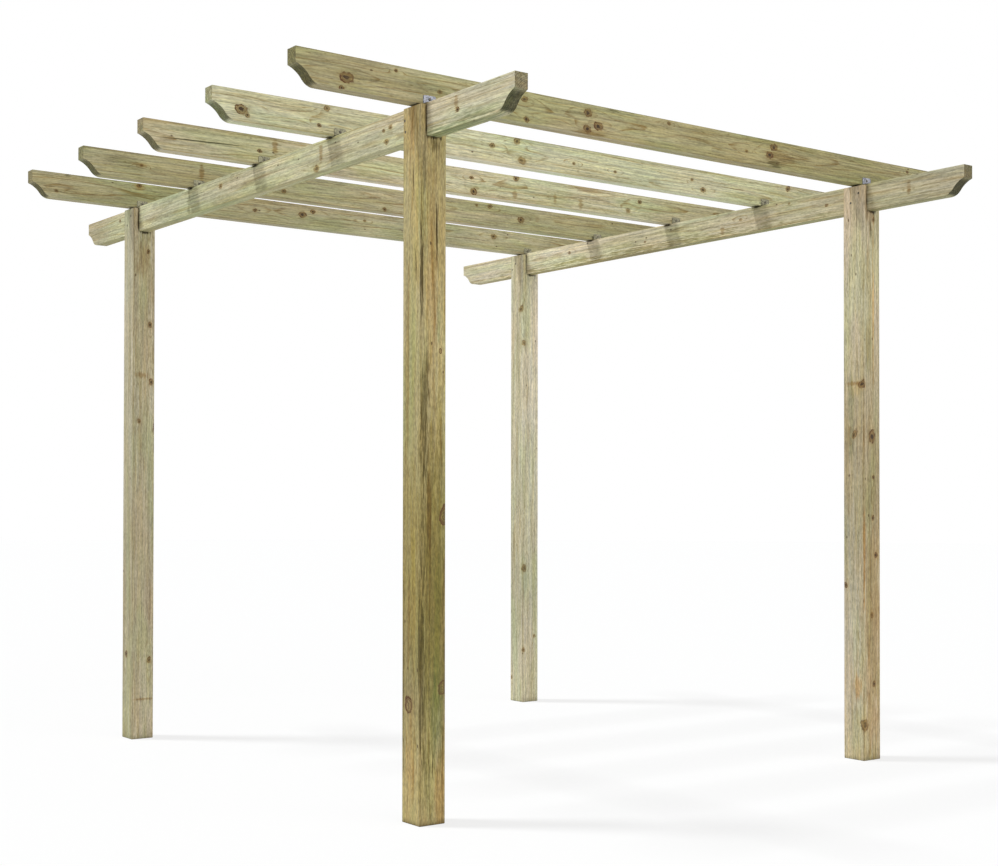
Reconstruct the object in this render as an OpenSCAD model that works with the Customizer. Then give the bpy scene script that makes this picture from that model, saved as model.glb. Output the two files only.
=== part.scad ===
// Timber pergola: four posts, two beams let into their tops, and five rafters
// laid across the beams and held to them with small angle brackets.
// Millimetres. The origin is on the floor, midway between the four posts.
// Beams run along Y, rafters along X, and +Z is up.

/* [Posts] */
// Width of a square post
post_w = 90; // [70:1:120]
// Height of a post
post_h = 2055; // [1700:5:2600]
// Distance between post centres, across the beams
span_x = 1930; // [1400:10:2600]
// Distance between post centres, along the beams
span_y = 1930; // [1400:10:2600]

/* [Beams] */
// Thickness of a beam
beam_t = 45; // [30:1:60]
// Depth of a beam
beam_d = 95; // [80:1:140]
// How far a beam stands above the top of its posts
beam_proud = 5; // [2:1:15]
// How far a beam runs on past its posts
beam_over = 400; // [150:5:600]
// Gap between a beam and each side of its slot in a post
slot_gap = 0; // [0:0.5:2]

/* [Rafters] */
// Thickness of a rafter
rafter_t = 45; // [30:1:60]
// Depth of a rafter
rafter_d = 95; // [80:1:140]
// How far a rafter runs on past the posts
rafter_over = 400; // [150:5:600]

/* [Shaped ends] */
// Height of the plain square nose at the end of a beam or rafter
nose_h = 44; // [20:1:60]
// Share of the drop below the nose that the hollow curve takes
hollow_share = 0.64; // [0.3:0.01:0.8]
// Slope at which the hollow curve leaves the nose, from level
start_angle = 18; // [0:1:30]
// Slope at which the hollow curve turns into the round one, from level
turn_angle = 54; // [45:1:70]

/* [Brackets] */
// Length of each leg of an angle bracket
bracket_leg = 26; // [24:1:60]
// Width of an angle bracket, across the beam
bracket_w = 44; // [20:1:60]
// Thickness of the bracket's plate
bracket_t = 2; // [1.5:0.5:3]
// Diameter of the screw hole in each leg
bracket_hole_d = 5; // [4:0.5:6]
// Distance of the hole from the bracket's corner
bracket_hole_in = 15; // [10:1:20]

/* [Hidden] */
$fn = 48;
OVER = 1;                            // how far a cut runs past a face
CURVE_STEPS = 8;                     // straight steps in each curve of a shaped end
RAFTERS = 5;                         // the outer two stand over the posts
slot_d = beam_d - beam_proud;        // depth of the slot in a post top
beam_z = post_h - slot_d;            // underside of a beam
rafter_z = beam_z + beam_d;          // underside of a rafter, which lies on the beams
beam_len = span_y + post_w + 2 * beam_over;
rafter_len = span_x + post_w + 2 * rafter_over;
rafter_pitch = span_y / (RAFTERS - 1);
timber = [0.66, 0.63, 0.47];
zinc = [0.72, 0.73, 0.74];
LEFT = -1;
RIGHT = 1;
FRONT = -1;
BACK = 1;

// Where things stand.
function post_x(side) = side * span_x / 2;
function post_y(end) = end * span_y / 2;
function rafter_y(i) = post_y(FRONT) + (i - 1) * rafter_pitch;

// Points along a circle about c, from angle a to angle b. The first point is left
// out when another curve already ends there.
function arc(c, r, a, b, first = 0) =
    [for (i = [first : CURVE_STEPS]) let (t = a + (b - a) * i / CURVE_STEPS)
        c + r * [cos(t), sin(t)]];

// Outline of the shaped end of a board of depth d, whose nose is at x = 0 and
// which runs on along +x. It goes down the nose, along a hollow curve that
// steepens from start_angle to turn_angle, and along a round one that lies down
// into the underside.
function end_outline(d) =
    let (drop = d - nose_h,
         hollow_r = drop * hollow_share / (cos(start_angle) - cos(turn_angle)),
         round_r = drop * (1 - hollow_share) / (1 - cos(turn_angle)),
         hollow_x = -hollow_r * sin(start_angle),
         hollow_z = drop - hollow_r * cos(start_angle),
         round_x = hollow_x + (hollow_r + round_r) * sin(turn_angle))
    concat([[0, d]],
           arc([hollow_x, hollow_z], hollow_r, 90 - start_angle, 90 - turn_angle),
           arc([round_x, round_r], round_r, 270 - turn_angle, 270, 1));

// A board on edge along X with both ends shaped, its underside at z = 0.
module board(len, t, d) {
    near = end_outline(d);
    far = [for (i = [len(near) - 1 : -1 : 0]) [len - near[i][0], near[i][1]]];
    translate([-len / 2, t / 2, 0]) rotate([90, 0, 0])
        linear_extrude(t) polygon(concat(near, far));
}

// A post, with a slot along Y through the middle of its top for the beam.
module post(side, end) {
    slot_w = beam_t + 2 * slot_gap;
    color(timber) translate([post_x(side), post_y(end), 0]) difference() {
        translate([-post_w / 2, -post_w / 2, 0]) cube([post_w, post_w, post_h]);
        translate([-slot_w / 2, -post_w / 2 - OVER, beam_z])
            cube([slot_w, post_w + 2 * OVER, slot_d + OVER]);
    }
}

module beam(side) {
    color(timber) translate([post_x(side), 0, beam_z]) rotate([0, 0, 90])
        board(beam_len, beam_t, beam_d);
}

module rafter(i) {
    color(timber) translate([0, rafter_y(i), rafter_z])
        board(rafter_len, rafter_t, rafter_d);
}

// An angle bracket that stands on the beam against the front face of a rafter.
// Each leg has one hole for a screw, in the middle of its width.
module bracket(i, side) {
    color(zinc) translate([post_x(side), rafter_y(i) - rafter_t / 2, rafter_z])
        difference() {
            union() {
                translate([-bracket_w / 2, -bracket_leg, 0])
                    cube([bracket_w, bracket_leg, bracket_t]);
                translate([-bracket_w / 2, -bracket_t, 0])
                    cube([bracket_w, bracket_t, bracket_leg]);
            }
            translate([0, -bracket_hole_in, -OVER])
                cylinder(h = bracket_t + 2 * OVER, d = bracket_hole_d);
            translate([0, OVER, bracket_hole_in]) rotate([90, 0, 0])
                cylinder(h = bracket_t + 2 * OVER, d = bracket_hole_d);
        }
}

post(LEFT, FRONT);  // post_front_left
post(RIGHT, FRONT);  // post_front_right
post(LEFT, BACK);  // post_back_left
post(RIGHT, BACK);  // post_back_right
beam(LEFT);  // beam_left
beam(RIGHT);  // beam_right
for (i = [1 : RAFTERS]) {
    rafter(i);
    bracket(i, LEFT);
    bracket(i, RIGHT);
}
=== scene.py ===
# %% [markdown]
# # A timber pergola
# The real thing is a kit of planed, pressure-treated softwood: four square posts, a beam let
# into the slotted tops of each pair, and five rafters laid across and held by small brackets.
# The joinery is already drawn to size as a fixed model, so this lesson is about looks: edges
# that a planer and a sander have eased, drying cracks, screws, and above all the grain.

# %% Load the fixed model
from math import cos, pi, radians, sin

import bmesh
import bpy
from mathutils import Matrix, Vector, noise


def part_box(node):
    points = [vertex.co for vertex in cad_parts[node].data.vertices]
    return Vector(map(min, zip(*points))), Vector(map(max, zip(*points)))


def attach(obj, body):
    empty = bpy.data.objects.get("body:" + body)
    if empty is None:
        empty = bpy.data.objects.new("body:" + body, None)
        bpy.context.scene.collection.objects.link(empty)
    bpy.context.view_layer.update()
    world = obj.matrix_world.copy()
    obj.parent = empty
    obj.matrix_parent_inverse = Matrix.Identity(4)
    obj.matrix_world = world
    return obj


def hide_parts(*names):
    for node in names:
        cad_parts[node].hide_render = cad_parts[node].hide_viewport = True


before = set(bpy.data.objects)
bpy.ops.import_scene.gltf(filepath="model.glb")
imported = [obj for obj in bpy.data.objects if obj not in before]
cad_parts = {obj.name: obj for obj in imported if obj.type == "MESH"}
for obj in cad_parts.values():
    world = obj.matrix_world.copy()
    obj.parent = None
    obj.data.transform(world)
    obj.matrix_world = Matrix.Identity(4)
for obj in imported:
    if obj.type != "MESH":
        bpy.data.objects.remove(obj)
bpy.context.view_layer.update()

MM = 0.001
NEAR = 0.1 * MM

# %% [markdown]
# ## What the model says
# Everything below is placed from the model's own corners. A timber is known by the way that it
# runs: posts up, beams front to back, rafters left to right. A face is named by the axis that
# it looks along, and by which way it looks. RUN holds the axis that each timber lies along.

# %% Names and places
LEFT, RIGHT = (0, -1), (0, 1)
FRONT, BACK = (1, -1), (1, 1)
UNDER = (2, -1)
POSTS = ["post_front_left", "post_front_right", "post_back_left", "post_back_right"]
BEAMS = ["beam_left", "beam_right"]
RAFTERS = [f"rafter_{i}" for i in range(1, 6)]
KIND = {**{n: "post" for n in POSTS}, **{n: "beam" for n in BEAMS}, **{n: "rafter" for n in RAFTERS}}
RUN = {node: {"rafter": 0, "beam": 1, "post": 2}[kind] for node, kind in KIND.items()}


def middle(node):
    low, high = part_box(node)
    return (low + high) / 2


def size(node):
    low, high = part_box(node)
    return high - low


def across(run):
    """The two axes across a timber's length, in order."""
    return [axis for axis in (0, 1, 2) if axis != run]


for node in (POSTS[0], BEAMS[0], RAFTERS[0]):
    print(node, [round(x / MM) for x in size(node)], "mm")

# %% [markdown]
# ## Camera
# The view is from chest height, out beyond the front left post, looking almost level, which
# keeps the posts upright. A level camera puts the horizon in the middle of the picture, so a
# small lens shift moves the frame up to the roof in place of tilting the camera back.

# %% Camera
SENSOR = 36
LENS = 55.479
SHIFT = (0.0718, 0.0460)
BEYOND_POST = (-2.5506, -3.6134)
EYE_HEIGHT = 0.9259
YAW, PITCH, ROLL = -0.6168, 0.0135, 0.0020


def add_camera():
    data = bpy.data.cameras.new("camera")
    data.sensor_width = SENSOR
    data.lens = LENS
    data.shift_x, data.shift_y = SHIFT
    camera = bpy.data.objects.new("camera", data)
    bpy.context.scene.collection.objects.link(camera)
    post = middle("post_front_left")
    camera.location = (post.x + BEYOND_POST[0], post.y + BEYOND_POST[1], EYE_HEIGHT)
    look = Vector((-sin(YAW) * cos(PITCH), cos(YAW) * cos(PITCH), sin(PITCH)))
    right = Vector((cos(YAW), sin(YAW), 0))
    top = right.cross(look)
    turned_right = right * cos(ROLL) + top * sin(ROLL)
    turned_top = top * cos(ROLL) - right * sin(ROLL)
    camera.rotation_euler = Matrix((turned_right, turned_top, -look)).transposed().to_euler()
    bpy.context.scene.camera = camera
    return camera


camera = add_camera()
print("camera at", [round(x, 2) for x in camera.location], "lens", LENS, "mm")

# %% [markdown]
# ## Shader sums
# Grain is a sum: distance from the heart of the tree, bent by knots, folded into year rings.
# Written as nodes by hand that is a page of wires, so one small class wraps a socket and lets
# Python's own `+ - * /` add the Math nodes. Every other node comes from `Bench.node`.

# %% A wire and a bench
class Wire:
    """One output of a shader node. Arithmetic on it adds Math nodes to the same tree."""

    def __init__(self, bench, socket):
        self.bench = bench
        self.socket = socket

    def maths(self, operation, *others):
        return self.bench.node("ShaderNodeMath", {"operation": operation}, self, *others)

    def __add__(self, other):
        return self.maths("ADD", other)

    def __sub__(self, other):
        return self.maths("SUBTRACT", other)

    def __rsub__(self, other):
        return self.bench.node("ShaderNodeMath", {"operation": "SUBTRACT"}, other, self)

    def __mul__(self, other):
        return self.maths("MULTIPLY", other)

    def __truediv__(self, other):
        return self.maths("DIVIDE", other)

    __radd__ = __add__
    __rmul__ = __mul__

    def step(self, low, high):
        """0 below low, 1 above high, smooth between. With low above high it falls instead."""
        return self.bench.node("ShaderNodeMapRange", {"interpolation_type": "SMOOTHSTEP"},
                               Value=self, **{"From Min": low, "From Max": high})


class Bench:
    """The node tree of a material, or of the world, with one method that adds any node."""

    def __init__(self, name, owner=None):
        self.material = owner or bpy.data.materials.new(name)
        self.material.use_nodes = True
        self.tree = self.material.node_tree
        self.tree.nodes.clear()

    def node(self, kind, settings=None, *values, out=None, **named):
        made = self.tree.nodes.new(kind)
        for key, value in (settings or {}).items():
            if key == "stops":
                self.set_stops(made.color_ramp, value)
            else:
                setattr(made, key, value)
        for place, value in enumerate(values):
            self.feed(made.inputs[place], value)
        for key, value in named.items():
            self.feed(next(s for s in made.inputs if s.name == key and s.enabled), value)
        outputs = [s for s in made.outputs if s.enabled and out in (None, s.name)]
        return Wire(self, outputs[0]) if outputs else None

    def feed(self, socket, value):
        if isinstance(value, Wire):
            self.tree.links.new(value.socket, socket)
        elif isinstance(value, tuple) and socket.type == "RGBA":
            socket.default_value = (*value, 1)
        else:
            socket.default_value = value

    @staticmethod
    def set_stops(ramp, stops):
        while len(ramp.elements) < len(stops):
            ramp.elements.new(1)
        for element, (place, colour) in zip(ramp.elements, stops):
            element.position = place
            element.color = (*colour, 1)

    def vector(self, operation, *values):
        return self.node("ShaderNodeVectorMath", {"operation": operation}, *values)

    def mix(self, share, first, second, blend="MIX"):
        settings = {"data_type": "RGBA", "blend_type": blend}
        return self.node("ShaderNodeMix", settings, Factor=share, A=first, B=second)

    def noise(self, at, scale, detail=2.0, roughness=0.5, out="Fac"):
        settings = {"noise_dimensions": "3D"}
        return self.node("ShaderNodeTexNoise", settings, out=out, Vector=at, Scale=scale,
                         Detail=detail, Roughness=roughness)


print("wire and bench ready")

# %% [markdown]
# ## The grain of a timber
# A sawn timber is a straight cut out of a tree, so its grain is worked out in the solid and not
# painted on the faces. Each timber says where the tree's heart, or pith, ran past it. The
# distance from the pith is folded into year rings, so a face cut along the rings shows arches,
# a face cut across them shows stripes, and the ends show arcs, all from one sum.
# The pith wanders a little on its way up, which is what draws the arches. The boards also bow
# as they dry, so the bow is taken off again before the sum.

# %% Grain: where a point is in the tree
SEAT = abs(middle("post_front_left").x)
BOW = {"rafter_1": 1.5, "rafter_2": -2.5, "rafter_3": 2.0, "rafter_4": -1.5, "rafter_5": 1.0,
       "beam_left": 1.0, "beam_right": -1.5}
SEED_STEP = 7.3
WANDER_SCALE = (1.1, 5.0, 5.0)
TREMBLE_SCALE = (7.0, 60.0, 60.0)
TREMBLE = 3.2 * MM


def in_the_timber(bench, node):
    """The point as (along, across, across), from the timber's middle, in metres."""
    point = bench.node("ShaderNodeTexCoord", out="Object")
    local = bench.vector("SUBTRACT", point, tuple(middle(node)))
    parts = [bench.node("ShaderNodeSeparateXYZ", {}, local, out=axis) for axis in "XYZ"]
    first, second = across(RUN[node])
    along = parts[RUN[node]]
    bow = BOW.get(node, 0.0) * MM
    straight = parts[first] - bow + along * along * (bow / SEAT ** 2)
    at = bench.node("ShaderNodeCombineXYZ", {}, along, straight, parts[second])
    return at, along, straight, parts[second]


def from_the_pith(bench, wood, at, along, first, second):
    """Distance from the pith, in metres, with the slow wander of a tree that grew outdoors."""
    seed = wood["seed"] * SEED_STEP
    slow = bench.vector("MULTIPLY_ADD", at, WANDER_SCALE, (seed, seed, seed))
    wander = bench.noise(slow, 1.0, 1.5, out="Color")
    sway = [bench.node("ShaderNodeSeparateXYZ", {}, wander, out=axis) for axis in "XY"]
    fine = bench.vector("MULTIPLY_ADD", at, TREMBLE_SCALE, (seed, 0.0, 0.0))
    tremble = (bench.noise(fine, 1.0, 3.0) - 0.5) * TREMBLE
    pith, lean = wood["pith"], wood["lean"]
    drift = wood["drift"] * MM
    away_first = first - pith[0] - along * lean[0] + (sway[0] - 0.5) * drift
    away_second = second - pith[1] - along * lean[1] + (sway[1] - 0.5) * drift
    squared = away_first * away_first + away_second * away_second
    return squared.maths("SQRT") + tremble


print("the seats of each rafter are", round(2 * SEAT, 3), "m apart; bows in millimetres:", BOW)

# %% [markdown]
# ### Where the knots are
# A knot is a branch that the trunk grew around: a cone that starts at the pith and widens
# outward. So each knot is given by the place where it comes out of a face, and the cone runs
# back from there to the pith, which also shows it right on a second face that it reaches. The
# rings are lifted around it, which wraps the grain round the knot. The along direction is
# squeezed first, because grain flows round a knot in long ovals.

# %% Grain: the nearest knot
SQUEEZE = Vector((0.70, 1.0, 1.0))
FLOW = (0.34, 1.0, 1.0)
THINNEST_KNOT = 0.4 * MM


def on_face(node, along, face, side, out=0.0):
    """A place on a face, as (along, across, across) from the timber's middle."""
    axis, sign = face
    depth = sign * (size(node)[axis] / 2 + out)
    if axis == across(RUN[node])[0]:
        return Vector((along, depth, side))
    return Vector((along, side, depth))


def smaller(one, other):
    return other if one is None else one.maths("MINIMUM", other)


def nearest_knot(bench, node, wood, at):
    """Two distances to the nearest knot, each as a share of its radius.

    The first is 0 at the knot's heart and 1 at its edge. The second is drawn out along the
    timber, in the long shape of the grain that flows round the knot.
    """
    squeezed = bench.vector("MULTIPLY", at, tuple(SQUEEZE))
    nearest = flow = None
    for along, face, side, radius, tilt in wood["knots"]:
        outside = on_face(node, along, face, side) * SQUEEZE
        root = Vector((along - tilt, wood["pith"][0] + along * wood["lean"][0],
                       wood["pith"][1] + along * wood["lean"][1])) * SQUEEZE
        reach = outside - root
        direction = reach.normalized()
        offset = bench.vector("SUBTRACT", squeezed, tuple(root))
        aside = bench.vector("LENGTH", bench.vector("CROSS_PRODUCT", offset, tuple(direction)))
        width = bench.vector("DOT_PRODUCT", offset, tuple(direction * (radius / reach.length)))
        share = aside / width.maths("MAXIMUM", THINNEST_KNOT)
        nearest = smaller(nearest, share)
        offset = bench.vector("SUBTRACT", at, tuple(on_face(node, along, face, side)))
        drawn_out = tuple(f / radius for f in FLOW)
        flow = smaller(flow, bench.vector("LENGTH", bench.vector("MULTIPLY", offset, drawn_out)))
    return nearest, flow


print("grain flows round a knot in ovals", round(1 / FLOW[0], 1), "times as long as they are wide")

# %% [markdown]
# ### Year rings
# Spring wood is pale and wide, summer wood dark and thin, and it ends sharply, so the ring's
# profile climbs slowly and drops at once. A Wave texture would draw even stripes, but no two
# years are alike: the sum below shifts each ring, and lets some summers all but vanish.

# %% Grain: year rings
LIFT_FALL = -0.22
UNEVEN_YEARS = 1.6


def year_rings(bench, wood, at, along, first, second, flow):
    """The place within a year's ring, from 0 to 1, and how much summer wood there is."""
    distance = from_the_pith(bench, wood, at, along, first, second)
    lift = (flow * flow * LIFT_FALL).maths("EXPONENT") * (wood["lift"] * MM)
    years = (distance - lift) / (wood["gap"] * MM)
    uneven = bench.node("ShaderNodeTexNoise", {"noise_dimensions": "1D"}, out="Fac",
                        W=years * 0.31 + wood["seed"], Scale=1.0, Detail=1.0)
    years = years + uneven * UNEVEN_YEARS
    ring = years.maths("FRACT")
    strong = bench.node("ShaderNodeTexNoise", {"noise_dimensions": "1D"}, out="Fac",
                        W=years * 0.55 + 9.0, Scale=1.0, Detail=0.0)
    summer = ring.step(0.60, 0.93) * ring.step(1.0, 0.95)
    calm = flow.step(0.6, 3.0) * 0.6 + 0.4
    return ring, summer * calm * strong.step(0.15, 0.65) * wood["contrast"]


print("years differ by up to", UNEVEN_YEARS, "rings")

# %% [markdown]
# ### Fibres and the colour along a timber
# Over the rings go the fibres, which are long thin streaks: noise drawn out along the timber
# does for all of them, from hand-long streaks to the short fuzz of a planed face. A timber's
# own colour drifts slowly along its length, as one ramp of tones, because treatment soaks in
# unevenly and each end of a tree is a different wood. On the beams the ramp also holds some
# painted shade.

# %% Grain: fibres and tones
SPREAD = (0.34, 0.66)


def stretched(bench, at, along, width, detail, seed):
    """Noise drawn out along the timber: along and width are its lengths in millimetres."""
    scale = (1000 / along, 1000 / width, 1000 / width)
    shifted = bench.vector("MULTIPLY_ADD", at, scale, (seed, seed * 1.7, seed * 0.6))
    return bench.noise(shifted, 1.0, detail)


def tone_along(bench, node, wood, along):
    """The colour along the timber, which changes slowly from one end to the other; on the beams it also
    holds some painted shade.
    """
    length = size(node)[RUN[node]]
    stops = [(0.5 + place / length, tuple(t * s for t, s in zip(wood["tone"], shift)))
             for place, shift in wood["tones"]]
    return bench.node("ShaderNodeValToRGB", {"stops": stops}, along / length + 0.5, out="Color")


print("noise between", SPREAD, "is spread over all of 0 to 1")

# %% [markdown]
# ### Marks
# Some marks are one timber's own: a flame of darker wood, a smear of resin, the shadow of a
# strap. They could be painted on a map, but each is only a soft long blob with a ragged edge,
# set on a face, and a row of numbers is easier to move than paint.

# %% Grain: marks
# The first colour draws thin drying checks that are not cut: partly dark wood and partly painted shade of
# the crack.
SPLIT_SHADE = (0.20, 0.17, 0.11)
DARK = (0.42, 0.40, 0.32)
BROWN = (0.66, 0.52, 0.36)
MOSS = (0.60, 0.68, 0.56)
GOLD = (1.14, 1.04, 0.80)
ORANGE = (1.02, 0.74, 0.44)
BLUE = (0.80, 0.94, 1.02)
ROSY = (0.95, 0.84, 0.70)
RUSSET = (0.97, 0.80, 0.58)
FERN = (0.84, 1.00, 0.72)
SILVER = (1.12, 1.18, 1.34)
DUN = (0.88, 0.86, 0.80)
UMBER = (0.68, 0.66, 0.48)
# Painted shade for the joints where timbers meet.
PAINTED_JOINT_SHADE = (0.08, 0.07, 0.05)


def with_stains(bench, node, wood, colour, at, fibres):
    """The colour multiplied by each of the timber's marks, with their edges torn by the grain."""
    ragged = (stretched(bench, at, 150, 9, 3.0, wood["seed"] + 80) - 0.5) * 1.7 + (fibres - 0.5) * 0.5
    for along, face, side, long, wide, shade, amount in wood["stains"]:
        offset = bench.vector("SUBTRACT", at, tuple(on_face(node, along, face, side)))
        offset = bench.vector("MULTIPLY", offset, (1 / long, 1 / wide, 1 / wide))
        far = bench.vector("LENGTH", offset) + ragged
        colour = bench.mix(far.step(1.1, 0.4) * amount, colour, shade, "MULTIPLY")
    return colour


print("a split keeps", SPLIT_SHADE, "of the wood's red, green and blue; silver lifts it by", SILVER)

# %% [markdown]
# ### Knot wood
# A knot is a branch sawn across: a warm halo of resin, tan wood with close rings of its own, a
# ring of bark that is broken in places, and often a dark heart where it dried and checked. One
# disc of brown would look like a spot of paint, so each part is a band of the knot distance.
# `heart` says how dark a timber's hearts are, and `bark` how whole its bark rings.

# %% Grain: knot wood and pin knots
KNOT_HALO = (0.94, 0.84, 0.66)
KNOT_WOOD = (0.76, 0.65, 0.48)
KNOT_RING = (0.115, 0.055, 0.022)
KNOT_HEART = (0.040, 0.022, 0.012)
KNOT_TURNS = 2.6
SPECK = (0.090, 0.055, 0.026)
SPECKS_PER_METRE = (14, 26, 26)


def with_knots(bench, wood, colour, knot, at):
    """A warm halo, tan knot wood with rings of its own, a broken bark ring and a dark heart."""
    heart, bark = wood["heart"], wood["bark"]
    shaken = bench.vector("ADD", at, (wood["seed"], 0.0, 0.0))
    gloom = bench.noise(shaken, 8.0, 0.0).step(0.40, 0.62)
    broken = bench.noise(shaken, 75.0, 2.0).step(0.40, 0.58).maths("MAXIMUM", bark)
    knot = knot + (bench.noise(shaken, 95.0, 3.0) - 0.5) * 0.9
    colour = bench.mix(knot.step(2.4, 0.8) * (0.2 + 0.3 * heart), colour, KNOT_HALO, "MULTIPLY")
    colour = bench.mix(knot.step(1.06, 0.86) * (0.3 + 0.7 * heart), colour, KNOT_WOOD, "MULTIPLY")
    turns = (knot * KNOT_TURNS).maths("FRACT").step(0.3, 0.85) * knot.step(1.0, 0.9)
    turns = turns * (gloom * 0.4 + 0.15 + 0.4 * bark)
    rim = knot.step(0.74, 0.92) * knot.step(1.22, 1.04) * broken * (gloom * 0.4 + 0.55 + 0.4 * bark)
    colour = bench.mix(turns.maths("MAXIMUM", rim), colour, KNOT_RING)
    return bench.mix(knot.step(0.66, 0.30) * (gloom * 0.35 + 0.6) * heart, colour, KNOT_HEART)


def with_specks(bench, colour, at, seed):
    """Small dark pin knots and resin pockets, scattered: only a few cells of many hold one."""
    spread = bench.vector("MULTIPLY_ADD", at, SPECKS_PER_METRE, (seed, seed, seed))
    cell = {"feature": "F1", "voronoi_dimensions": "3D"}
    near = bench.node("ShaderNodeTexVoronoi", cell, out="Distance", Vector=spread, Scale=1.0)
    pick = bench.node("ShaderNodeTexVoronoi", cell, out="Color", Vector=spread, Scale=1.0)
    few = bench.node("ShaderNodeSeparateColor", {}, pick, out="Red").step(0.60, 0.66)
    return bench.mix(near.step(0.10, 0.05) * few * 0.85, colour, SPECK)


print("a knot has", KNOT_TURNS, "rings of its own out to its edge")

# %% [markdown]
# ### Edges, undersides and cut ends
# Eased edges are handled and knocked, so in places they are darker or rubbed pale; on the beams
# the pale edges are partly a painted highlight. Undersides are painted greyer, as painted shade
# for the light that they miss. Cut ends drink most of the treatment and keep the saw's roughness,
# so they are darkest, with the rings showing, and where they face down they get painted shade as
# well. All three could be materials of their own, but then the grain would break at a corner. So
# the distance from a corner, or the way that a face points, mixes them in.

# %% Grain: edges, undersides and cut ends
# Painted shade: these colours darken every face that looks down.
UNDERSIDE_SHADE = {"post": (0.60, 0.60, 0.60), "beam": (0.68, 0.70, 0.60), "rafter": (0.86, 0.86, 0.92)}
CUT_END = {"post": (0.66, 0.62, 0.52), "beam": (0.58, 0.55, 0.45), "rafter": (0.76, 0.74, 0.64)}
# Painted shade for the parts of a cut end that look down.
SHADED_END = {"post": (0.50, 0.52, 0.44), "beam": (0.38, 0.41, 0.37), "rafter": (0.50, 0.52, 0.44)}
SAW_MARK = 0.36
# How far in from a corner the edge colour reaches: wear, and on the beams partly a painted highlight.
WORN_AND_HIGHLIT_EDGE = (5 * MM, 1 * MM)


def with_edges(bench, node, wood, colour, first, second, streaks):
    """The corners along the timber: darker where hands and knocks have reached, and on the beams paler,
    partly rubbed and partly a painted highlight.
    """
    half = [size(node)[axis] / 2 for axis in across(RUN[node])]
    inside = [h - v.maths("ABSOLUTE") for h, v in zip(half, (first, second))]
    from_corner = inside[0].maths("MAXIMUM", inside[1])
    worn_and_highlit = from_corner.step(*WORN_AND_HIGHLIT_EDGE) * streaks.step(0.30, 0.62)
    return bench.mix(worn_and_highlit, colour, wood["edge"], "MULTIPLY")


def with_ends(bench, node, colour, ring, at, seed):
    """Painted shade on undersides, and cut ends that are darker, with their rings, the saw's marks and
    painted shade where they face down.
    """
    facing = bench.node("ShaderNodeNewGeometry", {}, out="True Normal")
    axis = tuple(1.0 if a == RUN[node] else 0.0 for a in range(3))
    turned = bench.vector("DOT_PRODUCT", facing, axis).maths("ABSOLUTE")
    down = bench.vector("DOT_PRODUCT", facing, (0.0, 0.0, -1.0))
    colour = bench.mix(down.step(0.6, 0.95), colour, UNDERSIDE_SHADE[KIND[node]], "MULTIPLY")
    rough = bench.noise(bench.vector("ADD", at, (seed, 0.0, 0.0)), 160.0, 4.0).step(*SPREAD)
    pale = CUT_END[KIND[node]]
    end = bench.mix(ring.step(0.3, 0.9) * 0.4 + rough * 0.5, pale, tuple(c * SAW_MARK for c in pale))
    end = bench.mix(down.step(0.10, 0.45), end, SHADED_END[KIND[node]], "MULTIPLY")
    return bench.mix(turned.step(0.15, 0.55), colour, end, "MULTIPLY")


print("worn edges reach", round(WORN_AND_HIGHLIT_EDGE[0] / MM), "mm in from a corner")

# %% [markdown]
# ### The whole finish
# All the layers are multiplied over each other, as stains do on real wood, in the order that
# they come to it: the tree's own rings, the treatment, which is greenish in the outer wood and
# pink or tan where it took less, then marks, knots and wear. The fibres also feed a shallow
# bump, since summer wood stands a little proud of a planed face.

# %% Grain: a timber's finish
SUMMER = (0.56, 0.42, 0.27)
GREEN = (0.86, 0.98, 0.82)
PINK = (1.06, 0.96, 0.92)
YELLOW = (1.08, 1.03, 0.72)
STREAK = (0.72, 0.66, 0.52)
TICK = (0.50, 0.42, 0.28)
GRAIN_DEPTH = 0.7 * MM


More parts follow.
